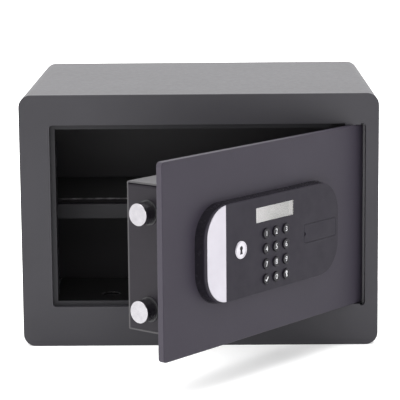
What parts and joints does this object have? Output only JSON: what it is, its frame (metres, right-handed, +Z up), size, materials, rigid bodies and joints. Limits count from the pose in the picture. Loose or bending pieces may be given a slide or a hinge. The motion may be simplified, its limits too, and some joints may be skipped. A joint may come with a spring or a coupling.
{
  "type": "in room safe",
  "caption": "Landscape steel in-room safe with a keypad door on concealed pivot pins, motor-driven round bolts behind it and a half-depth shelf inside.",
  "frame": {"origin": "centre of the floor anchor holes on the underside of the cabinet", "axes": "+Z up, +Y to the back panel with the wall holes, +X to the hinge side; the door is stored about 51 degrees open"},
  "size_m": [0.35, 0.5275, 0.25],
  "materials": {
    "charcoal_paint": "fine satin powder coat",
    "case_paint": "satin powder coat",
    "fascia_black": "gloss moulded",
    "fascia_grey": "fine spark-eroded texture",
    "key_black": "gloss moulded",
    "bolt_chrome": "polished hard chrome",
    "silver_trim": "satin silver",
    "badge_chrome": "satin chrome",
    "lcd_pale": "reflective liquid crystal display",
    "clear_lens": "clear acrylic window",
    "zinc_steel": "zinc plated",
    "brass": "turned brass",
    "nylon_black": "moulded nylon",
    "felt": "needle felt",
    "silicone": "moulded silicone",
    "board_green": "solder resist",
    "cable_grey": "flat cable",
    "battery_wrap": "printed wrap, plain"
  },
  "bodies": {
    "cabinet": {"cabinet_shell": "charcoal_paint", "front_frame": "charcoal_paint", "stop_frame": "charcoal_paint", "bolt_keeper": "charcoal_paint", "hinge_channel": "charcoal_paint", "rear_panel": "charcoal_paint", "hinge_block_upper": "charcoal_paint", "hinge_block_lower": "charcoal_paint", "floor_mat": "felt", "shelf": "charcoal_paint", "shelf_mat": "felt", "shelf_bracket_left": "charcoal_paint", "shelf_bracket_right": "charcoal_paint"},
    "door": {"door_plate": "charcoal_paint", "hinge_bar": "charcoal_paint", "hinge_pin_upper": "zinc_steel", "hinge_pin_lower": "zinc_steel", "lock_chassis": "case_paint", "case_cover": "case_paint", "case_screws": "zinc_steel", "bolt_bushes": "nylon_black", "gear_motor": "zinc_steel", "motor_bracket": "zinc_steel", "control_board": "board_green", "battery_tray": "nylon_black", "battery_1": "battery_wrap", "battery_2": "battery_wrap", "battery_3": "battery_wrap", "battery_4": "battery_wrap", "ribbon_cable": "cable_grey", "override_cylinder": "brass", "fascia_housing": "fascia_black", "fascia_face": "fascia_grey", "fascia_trim": "silver_trim", "badge": "badge_chrome", "display_lens": "clear_lens", "lcd_module": "lcd_pale", "keypad_mat": "silicone", "keypad_board": "board_green", "fascia_screws": "zinc_steel"},
    "bolts": {"bolt_upper": "bolt_chrome", "bolt_lower": "bolt_chrome", "bolt_carriage": "zinc_steel"},
    "pinion": {"drive_pinion": "brass"},
    "override_plug": {"override_plug": "brass"},
    "emergency_cover": {"emergency_cover": "fascia_grey"},
    "battery_cover": {"battery_cover": "nylon_black"},
    "reset_button": {"reset_button": "nylon_black"},
    "key_enter": {"key_enter": "key_black"},
    "key_0": {"key_0": "key_black"},
    "key_lock": {"key_lock": "key_black"},
    "key_7": {"key_7": "key_black"},
    "key_8": {"key_8": "key_black"},
    "key_9": {"key_9": "key_black"},
    "key_4": {"key_4": "key_black"},
    "key_5": {"key_5": "key_black"},
    "key_6": {"key_6": "key_black"},
    "key_1": {"key_1": "key_black"},
    "key_2": {"key_2": "key_black"},
    "key_3": {"key_3": "key_black"}
  },
  "joints": [
    {"name": "door_hinge", "type": "hinge", "parent": "cabinet", "child": "door", "pos_m": [0.15, -0.145, 0.13], "axis": [0, 0, 1], "range_deg": [-51.4, 46]},
    {"name": "bolt_throw", "type": "slide", "parent": "door", "child": "bolts", "axis": [-0.6239, -0.7815, 0], "range_m": [0, 0.016]},
    {"name": "pinion_turn", "type": "hinge", "parent": "door", "child": "pinion", "pos_m": [0.0092, -0.28851, 0.113], "axis": [0.7815, -0.6239, 0], "range_deg": [0, 102]},
    {"name": "override_turn", "type": "hinge", "parent": "door", "child": "override_plug", "pos_m": [0.0993, -0.20049, 0.1273], "axis": [0.7815, -0.6239, 0], "range_deg": [-90, 0]},
    {"name": "emergency_cover_pull", "type": "slide", "parent": "door", "child": "emergency_cover", "axis": [0.7815, -0.6239, 0], "range_m": [0, 0.01]},
    {"name": "battery_cover_slide", "type": "slide", "parent": "door", "child": "battery_cover", "axis": [0.6239, 0.7815, 0], "range_m": [0, 0.008]},
    {"name": "reset_press", "type": "slide", "parent": "door", "child": "reset_button", "axis": [0.7815, -0.6239, 0], "range_m": [0, 0.0015], "stiffness_N_per_m": 300},
    {"name": "key_enter_press", "type": "slide", "parent": "door", "child": "key_enter", "axis": [-0.7815, 0.6239, 0], "range_m": [0, 0.0012], "stiffness_N_per_m": 400},
    {"name": "key_0_press", "type": "slide", "parent": "door", "child": "key_0", "axis": [-0.7815, 0.6239, 0], "range_m": [0, 0.0012], "stiffness_N_per_m": 400},
    {"name": "key_lock_press", "type": "slide", "parent": "door", "child": "key_lock", "axis": [-0.7815, 0.6239, 0], "range_m": [0, 0.0012], "stiffness_N_per_m": 400},
    {"name": "key_7_press", "type": "slide", "parent": "door", "child": "key_7", "axis": [-0.7815, 0.6239, 0], "range_m": [0, 0.0012], "stiffness_N_per_m": 400},
    {"name": "key_8_press", "type": "slide", "parent": "door", "child": "key_8", "axis": [-0.7815, 0.6239, 0], "range_m": [0, 0.0012], "stiffness_N_per_m": 400},
    {"name": "key_9_press", "type": "slide", "parent": "door", "child": "key_9", "axis": [-0.7815, 0.6239, 0], "range_m": [0, 0.0012], "stiffness_N_per_m": 400},
    {"name": "key_4_press", "type": "slide", "parent": "door", "child": "key_4", "axis": [-0.7815, 0.6239, 0], "range_m": [0, 0.0012], "stiffness_N_per_m": 400},
    {"name": "key_5_press", "type": "slide", "parent": "door", "child": "key_5", "axis": [-0.7815, 0.6239, 0], "range_m": [0, 0.0012], "stiffness_N_per_m": 400},
    {"name": "key_6_press", "type": "slide", "parent": "door", "child": "key_6", "axis": [-0.7815, 0.6239, 0], "range_m": [0, 0.0012], "stiffness_N_per_m": 400},
    {"name": "key_1_press", "type": "slide", "parent": "door", "child": "key_1", "axis": [-0.7815, 0.6239, 0], "range_m": [0, 0.0012], "stiffness_N_per_m": 400},
    {"name": "key_2_press", "type": "slide", "parent": "door", "child": "key_2", "axis": [-0.7815, 0.6239, 0], "range_m": [0, 0.0012], "stiffness_N_per_m": 400},
    {"name": "key_3_press", "type": "slide", "parent": "door", "child": "key_3", "axis": [-0.7815, 0.6239, 0], "range_m": [0, 0.0012], "stiffness_N_per_m": 400}
  ],
  "couplings": [
    {"joint": "pinion_turn", "follows": "bolt_throw", "rad_per_m": 111.11}
  ]
}
